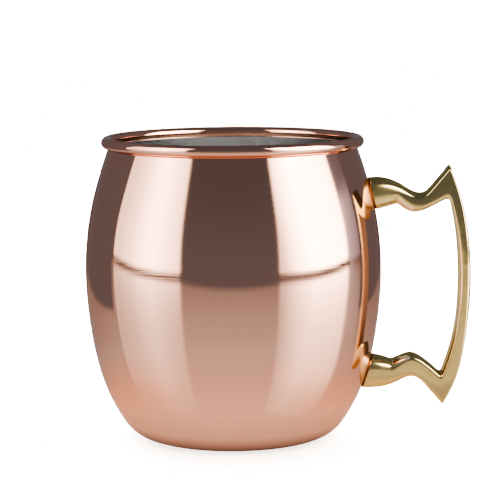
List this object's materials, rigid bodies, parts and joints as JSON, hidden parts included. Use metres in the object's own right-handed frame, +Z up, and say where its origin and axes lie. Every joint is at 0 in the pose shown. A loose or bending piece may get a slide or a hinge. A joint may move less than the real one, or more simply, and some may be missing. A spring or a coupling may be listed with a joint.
{
  "type": "copper mug",
  "caption": "Barrel-shaped polished copper mug with a rolled rim, a thin steel lining and a cast brass handle with a pointed thumb rest, for cold drinks.",
  "frame": {"origin": "centre of the foot ring's resting plane, on the barrel's axis", "axes": "+Z up along the barrel's axis, +X towards the handle, +Y across the handle"},
  "size_m": [0.1198, 0.092, 0.0939],
  "materials": {
    "polished_copper": "mirror-polished copper with fine spinning marks",
    "satin_steel": "satin, brushed around the cup",
    "cast_brass": "polished casting",
    "screw_steel": "turned and polished",
    "seal_rubber": "matt, food-grade"
  },
  "bodies": {
    "root": {"copper_shell": "polished_copper", "steel_liner": "satin_steel", "handle": "cast_brass", "upper_handle_screw": "screw_steel", "lower_handle_screw": "screw_steel", "upper_seal_washer": "seal_rubber", "lower_seal_washer": "seal_rubber"}
  },
  "joints": []
}
